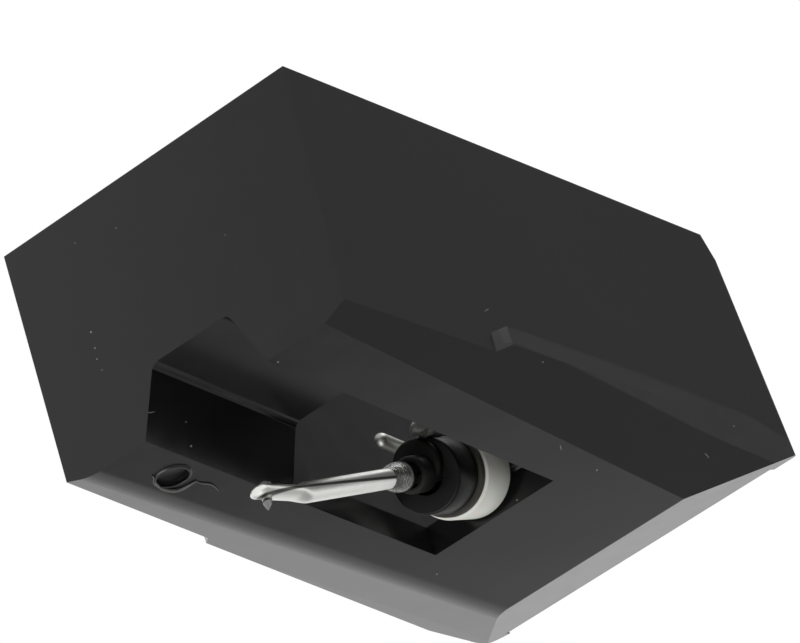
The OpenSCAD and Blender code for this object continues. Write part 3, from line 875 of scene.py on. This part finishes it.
# %% Grains and fibres
GRAIN_PIXELS = ((75, 243), (116, 228), (225, 235), (91, 332), (95, 348), (97, 359), (102, 370), (186, 422),
                (191, 446), (278, 362), (543, 362), (597, 470), (517, 500), (437, 574), (734, 426))
FIBRE_PIXELS = ((486, 310), (561, 447), (151, 412), (707, 455))
GRAIN_SMALL, GRAIN_LARGE, GRAIN_FLAT = 0.018, 0.032, 0.5
FIBRE_BENDS = ((-0.14, 0), (-0.05, 0.03), (0.05, -0.01), (0.14, 0.02))
FIBRE_THICK, FIBRE_LIFT = 0.018, 0.012
random.seed(4)


def touch_holder(pixel):
    """Where the camera's ray through a picture point meets the holder, and the skin's normal there."""
    hit, place, normal, _ = holder.ray_cast(camera.location, ray_through(pixel))
    return (place, normal) if hit else (None, None)


dust = []
for i, pixel in enumerate(GRAIN_PIXELS):
    place, normal = touch_holder(pixel)
    if place is None:
        print("no holder at", pixel)
        continue
    size = random.uniform(GRAIN_SMALL, GRAIN_LARGE)
    grain = dab("dust", (size, size * random.uniform(0.5, 1), size * GRAIN_FLAT), seed=i)
    flat_on_skin = normal.to_track_quat("Z", "Y").to_matrix().to_4x4()
    settle(grain, Matrix.Translation(place) @ flat_on_skin)
    dust.append(grain)
for pixel in FIBRE_PIXELS:
    place, normal = touch_holder(pixel)
    if place is None:
        print("no holder at", pixel)
        continue
    side = normal.cross(back).normalized()
    run = normal.cross(side).normalized()
    path = [place + (normal * FIBRE_LIFT + run * a + side * b) * MM for a, b in FIBRE_BENDS]
    dust.append(wire("dust", path, FIBRE_THICK, ends=0.6))
bpy.ops.object.select_all(action="DESELECT")
for speck in dust:
    speck.select_set(True)
bpy.context.view_layer.objects.active = dust[0]
bpy.ops.object.join()
dust[0].name = dust[0].data.name = "dust"
finish_piece(dust[0], dust_white, "holder", smooth_angle=60)

# %% [markdown]
# ## Light
# The set is a light tent: white all round, with a pale floor far below. The tent lights matt surfaces
# at less than half of its strength, and cameras and mirrors see it at full strength, so the background
# is white while matt parts keep their tone. Two soft lamps, one below and one above, round the small
# parts. A picture of a room could light the set too, but would show in the black plastic.

# %% World and floor
TENT_LIGHT, TENT_SEEN = 0.45, 1.0
world = bpy.data.worlds.new("light_tent")
bpy.context.scene.world = world
world.use_nodes = True
tree = world.node_tree
tree.nodes.clear()
path = add(tree, "ShaderNodeLightPath").outputs
seen = path["Is Camera Ray"]
for kind in ("Is Glossy Ray", "Is Transmission Ray"):
    seen = add(tree, "ShaderNodeMath", {0: seen, 1: path[kind]}, operation="MAXIMUM").outputs[0]
level = add(tree, "ShaderNodeMapRange", {"Value": seen, "To Min": TENT_LIGHT, "To Max": TENT_SEEN})
tent = add(tree, "ShaderNodeBackground", {"Color": linear("#ffffff"), "Strength": level.outputs[0]})
add(tree, "ShaderNodeOutputWorld", {"Surface": tent.outputs[0]})

FLOOR_Z, FLOOR_R = -0.3, 1.2
bpy.ops.object.select_all(action="DESELECT")
bpy.ops.mesh.primitive_circle_add(vertices=96, radius=FLOOR_R, fill_type="NGON", location=(0, 0, FLOOR_Z))
floor = bpy.context.object
floor.name = "floor"
paper, tree, shader = start_material("floor_paper", Roughness=0.9)
tree.links.new(wander(tree, 40.0, "#d9d9d8", "#dededd"), shader.inputs["Base Color"])
floor.data.materials.append(paper)
print("the floor is", -FLOOR_Z, "m below")

# %% Lamps


def lamp(name, direction, distance, size, power):
    """A square soft lamp that looks at the middle of the object. Lengths in metres."""
    data = bpy.data.lights.new(name, "AREA")
    data.size = size
    data.energy = power
    lamp_object = bpy.data.objects.new(name, data)
    towards = Vector(direction).normalized()
    lamp_object.location = towards * distance
    lamp_object.rotation_mode = "QUATERNION"
    lamp_object.rotation_quaternion = towards.to_track_quat("Z", "Y")
    bpy.context.scene.collection.objects.link(lamp_object)
    print(name, "has", power, "W")


lamp("key_from_below", (-0.35, -0.45, -0.8), distance=0.13, size=0.1, power=0.12)
lamp("fill_from_above", (0.3, 0.2, 0.9), distance=0.4, size=0.3, power=0.9)

# %% [markdown]
# ## Cards
# Glossy black plastic shows only what it mirrors, so grey cards stand where its flat faces look. The
# bevels look past the cards and mirror the white tent. Some cards get brighter towards one side, which
# gives the flat faces their soft gradients. Lamps could do this too, but they would also light the
# matt parts. A card is seen by reflections only, and glows by itself, so that its tone is known.

# %% Cards
CARD_DISTANCE = 0.25


def card(name, direction, width, height, axis, starts, ends):
    """A card, sized in metres, whose light goes from one (mm, level) to another along X or Y."""
    bpy.ops.object.select_all(action="DESELECT")
    bpy.ops.mesh.primitive_plane_add(size=1)
    piece = bpy.context.object
    piece.name = name
    piece.scale = (width, height, 1)
    bpy.ops.object.transform_apply(scale=True)
    towards = Vector(direction).normalized()
    piece.rotation_mode = "QUATERNION"
    piece.rotation_quaternion = towards.to_track_quat("Z", "Y")
    piece.location = towards * CARD_DISTANCE
    material = bpy.data.materials.new(name + "_paint")
    material.use_nodes = True
    tree = material.node_tree
    tree.nodes.clear()
    places = add(tree, "ShaderNodeTexCoord").outputs["Object"]
    along = add(tree, "ShaderNodeSeparateXYZ", {"Vector": places}).outputs[axis]
    levels = {"Value": along, "From Min": starts[0] * MM, "From Max": ends[0] * MM,
              "To Min": starts[1], "To Max": ends[1]}
    level = add(tree, "ShaderNodeMapRange", levels).outputs[0]
    glow = add(tree, "ShaderNodeEmission", {"Color": linear("#ffffff"), "Strength": level})
    add(tree, "ShaderNodeOutputMaterial", {"Surface": glow.outputs[0]})
    piece.data.materials.append(material)
    piece.visible_camera = False
    piece.visible_diffuse = False
    piece.visible_transmission = False
    piece.visible_shadow = False
    print(name, "glows from", starts[1], "to", ends[1])


card("card_front", (-0.44, -0.67, 0.6), 0.12, 0.11, "X", (0, 0.8), (16, 0.48))
card("card_below", (-0.42, 0.78, -0.47), 0.13, 0.12, "Y", (-12, 0.15), (6, 0.62))
card("card_beside", (0.2, 0.78, -0.6), 0.2, 0.15, "X", (-20, 0.28), (20, 0.28))
card("card_right", (0.48, 0.74, 0.48), 0.156, 0.2, "X", (4, 0.24), (34, 0.1))
card("card_behind", (-0.15, 0.72, 0.67), 0.12, 0.12, "X", (-20, 0.08), (20, 0.08))
card("card_above", (0.0, 0.0, 1.0), 0.2, 0.2, "X", (-20, 0.12), (20, 0.12))

# %% [markdown]
# ## Render settings
# The levels of the tent and of the cards are set for the Standard view transform. Filmic or AgX would
# bend them and grey the white background.

# %% Render settings that the look depends on
scene = bpy.context.scene
scene.view_settings.view_transform = "Standard"
print("view transform:", scene.view_settings.view_transform)
